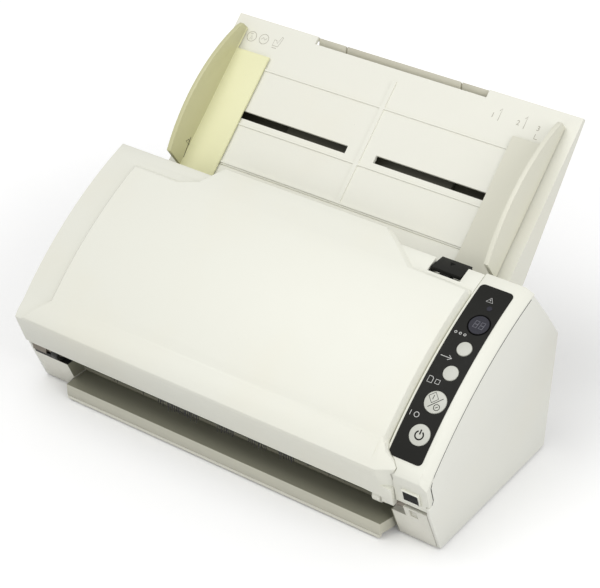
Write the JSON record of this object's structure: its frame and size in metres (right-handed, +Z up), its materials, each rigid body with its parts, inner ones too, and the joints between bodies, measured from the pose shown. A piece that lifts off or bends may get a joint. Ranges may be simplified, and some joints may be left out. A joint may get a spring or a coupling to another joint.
{
  "type": "document scanner",
  "caption": "Desktop sheet-fed document scanner with a hinged front cover, upright paper chute, coupled side guides, pull-out stacker and a side control panel.",
  "frame": {"origin": "middle of the bottom of the box round the whole scanner, on the surface it stands on", "axes": "+X to the user's right, +Y to the back, +Z up"},
  "size_m": [0.301, 0.2151, 0.1928],
  "materials": {
    "shell_white": "fine satin moulded plastic",
    "side_white": "fine satin moulded plastic",
    "frame_white": "fine satin moulded plastic",
    "aged_cream": "satin plastic yellowed by age",
    "chute_white": "satin moulded plastic",
    "overlay_black": "smooth dark label film",
    "button_grey": "satin plastic",
    "smoke_window": "smoked clear plastic",
    "window_white": "smooth plastic",
    "lever_black": "fine textured plastic",
    "scan_black": "dull moulded plastic",
    "guide_dark": "smooth dark plastic",
    "clear_glass": "polished flat glass",
    "steel": "ground steel",
    "dark_steel": "oiled dark steel",
    "roller_rubber": "fine ribbed rubber",
    "roller_grey": "smooth nylon",
    "gear_nylon": "natural nylon",
    "motor_metal": "plated can",
    "board_green": "circuit board with solder mask",
    "socket_black": "moulded plastic",
    "socket_metal": "plated sheet",
    "brush_black": "conductive fibre strands",
    "foot_rubber": "soft rubber",
    "screw_steel": "zinc plated"
  },
  "bodies": {
    "base": {"chassis": "frame_white", "left_side_cover": "side_white", "right_side_cover": "side_white", "rear_cover": "side_white", "control_panel_cover": "shell_white", "panel_overlay": "overlay_black", "display_window": "smoke_window", "check_lamp": "smoke_window", "window_frame": "window_white", "front_window": "smoke_window", "lower_guide": "guide_dark", "lower_scan_unit": "scan_black", "lower_scan_glass": "clear_glass", "drive_motor": "motor_metal", "main_board": "board_green", "power_socket": "socket_black", "data_socket": "socket_metal", "button_board": "board_green", "hinge_pins": "dark_steel", "striker_pins": "steel", "rubber_feet": "foot_rubber", "rear_screws": "screw_steel"},
    "cover": {"front_cover": "shell_white", "inner_cover": "guide_dark", "upper_scan_unit": "scan_black", "upper_scan_glass": "clear_glass", "static_brush": "brush_black"},
    "latch": {"release_lever": "lever_black", "latch_hooks": "gear_nylon", "latch_shaft": "steel"},
    "brake": {"brake_roller": "roller_rubber", "brake_shaft": "steel"},
    "feed_idler_set": {"feed_idlers": "roller_grey"},
    "eject_idler_set": {"eject_idlers": "roller_grey"},
    "chute": {"paper_chute": "chute_white", "chute_back_cover": "chute_white"},
    "extension": {"chute_extension": "chute_white"},
    "left_guide": {"side_guide_left": "aged_cream"},
    "right_guide": {"side_guide_right": "chute_white"},
    "pinion": {"guide_pinion": "gear_nylon"},
    "stacker": {"stacker_tray": "frame_white"},
    "stacker_slide": {"stacker_extension": "frame_white"},
    "pick": {"pick_shaft": "steel", "pick_roller": "roller_rubber", "pick_gear": "gear_nylon"},
    "pick_idler": {"pick_idler_gear": "gear_nylon"},
    "feed": {"feed_shaft": "steel", "feed_rollers": "roller_rubber", "feed_gear": "gear_nylon"},
    "eject": {"eject_shaft": "steel", "eject_rollers": "roller_rubber", "eject_gear": "gear_nylon"},
    "upper_gear": {"upper_train_gear": "gear_nylon"},
    "middle_gear": {"middle_train_gear": "gear_nylon"},
    "lower_gear": {"lower_train_gear": "gear_nylon"},
    "motor": {"motor_pinion": "steel"},
    "power": {"power_button": "button_grey"},
    "scan": {"scan_button": "button_grey"},
    "send": {"send_button": "button_grey"},
    "function": {"function_button": "button_grey"}
  },
  "joints": [
    {"name": "cover_hinge", "type": "hinge", "parent": "base", "child": "cover", "pos_m": [0, -0.09295, 0.0315], "axis": [1, 0, 0], "range_deg": [0, 70]},
    {"name": "latch_turn", "type": "hinge", "parent": "cover", "child": "latch", "pos_m": [0, -0.00882, 0.12071], "axis": [1, 0, 0], "range_deg": [0, 8], "stiffness_Nm_per_rad": 0.12, "springref_deg": -17.19},
    {"name": "brake_spin", "type": "hinge", "parent": "cover", "child": "brake", "pos_m": [0, -0.00524, 0.10946], "axis": [1, 0, 0], "continuous": true},
    {"name": "feed_idler_spin", "type": "hinge", "parent": "cover", "child": "feed_idler_set", "pos_m": [0, -0.02311, 0.08753], "axis": [1, 0, 0], "continuous": true},
    {"name": "eject_idler_spin", "type": "hinge", "parent": "cover", "child": "eject_idler_set", "pos_m": [0, -0.07014, 0.04413], "axis": [1, 0, 0], "continuous": true},
    {"name": "chute_lift", "type": "slide", "parent": "base", "child": "chute", "axis": [0, 0.7349, 0.6782], "range_m": [0, 0.04]},
    {"name": "extension_slide", "type": "slide", "parent": "chute", "child": "extension", "axis": [0, 0.7349, 0.6782], "range_m": [0, 0.07]},
    {"name": "left_guide_slide", "type": "slide", "parent": "chute", "child": "left_guide", "axis": [1, 0, 0], "range_m": [0, 0.088]},
    {"name": "right_guide_slide", "type": "slide", "parent": "chute", "child": "right_guide", "axis": [1, 0, 0], "range_m": [-0.0885, 0.0005]},
    {"name": "guide_pinion_spin", "type": "hinge", "parent": "chute", "child": "pinion", "pos_m": [0, 0.05682, 0.14469], "axis": [0, -0.6782, 0.7349], "range_deg": [-724, 4]},
    {"name": "stacker_pull", "type": "slide", "parent": "base", "child": "stacker", "axis": [0, -1, 0], "range_m": [0, 0.075]},
    {"name": "stacker_slide_pull", "type": "slide", "parent": "stacker", "child": "stacker_slide", "axis": [0, -1, 0], "range_m": [0, 0.085]},
    {"name": "feed_spin", "type": "hinge", "parent": "base", "child": "feed", "pos_m": [0, -0.01395, 0.07761], "axis": [1, 0, 0], "continuous": true},
    {"name": "pick_spin", "type": "hinge", "parent": "base", "child": "pick", "pos_m": [0, 0.00934, 0.09366], "axis": [1, 0, 0], "continuous": true},
    {"name": "eject_spin", "type": "hinge", "parent": "base", "child": "eject", "pos_m": [0, -0.06099, 0.03421], "axis": [1, 0, 0], "continuous": true},
    {"name": "pick_idler_spin", "type": "hinge", "parent": "base", "child": "pick_idler", "pos_m": [0, 0.00401, 0.07647], "axis": [1, 0, 0], "continuous": true},
    {"name": "upper_gear_spin", "type": "hinge", "parent": "base", "child": "upper_gear", "pos_m": [0, -0.021, 0.06105], "axis": [1, 0, 0], "continuous": true},
    {"name": "middle_gear_spin", "type": "hinge", "parent": "base", "child": "middle_gear", "pos_m": [0, -0.03001, 0.04782], "axis": [1, 0, 0], "continuous": true},
    {"name": "lower_gear_spin", "type": "hinge", "parent": "base", "child": "lower_gear", "pos_m": [0, -0.04391, 0.03991], "axis": [1, 0, 0], "continuous": true},
    {"name": "motor_spin", "type": "hinge", "parent": "base", "child": "motor", "pos_m": [0, -0.02119, 0.03827], "axis": [1, 0, 0], "continuous": true},
    {"name": "power_press", "type": "slide", "parent": "base", "child": "power", "axis": [0, 0.6744, -0.7383], "range_m": [0, 0.0008], "stiffness_N_per_m": 400, "springref_m": -0.001},
    {"name": "scan_press", "type": "slide", "parent": "base", "child": "scan", "axis": [0, 0.6129, -0.7902], "range_m": [0, 0.0008], "stiffness_N_per_m": 400, "springref_m": -0.001},
    {"name": "send_press", "type": "slide", "parent": "base", "child": "send", "axis": [0, 0.5529, -0.8333], "range_m": [0, 0.0008], "stiffness_N_per_m": 400, "springref_m": -0.001},
    {"name": "function_press", "type": "slide", "parent": "base", "child": "function", "axis": [0, 0.498, -0.8672], "range_m": [0, 0.0008], "stiffness_N_per_m": 400, "springref_m": -0.001}
  ],
  "couplings": [
    {"joint": "right_guide_slide", "follows": "left_guide_slide", "ratio": -1},
    {"joint": "guide_pinion_spin", "follows": "left_guide_slide", "rad_per_m": -142.86},
    {"joint": "pick_idler_spin", "follows": "feed_spin", "ratio": -1.25},
    {"joint": "pick_spin", "follows": "feed_spin", "ratio": 1},
    {"joint": "upper_gear_spin", "follows": "feed_spin", "ratio": -1.25},
    {"joint": "middle_gear_spin", "follows": "feed_spin", "ratio": 1.25},
    {"joint": "lower_gear_spin", "follows": "feed_spin", "ratio": -1.25},
    {"joint": "eject_spin", "follows": "feed_spin", "ratio": 1},
    {"joint": "motor_spin", "follows": "feed_spin", "ratio": -2}
  ]
}
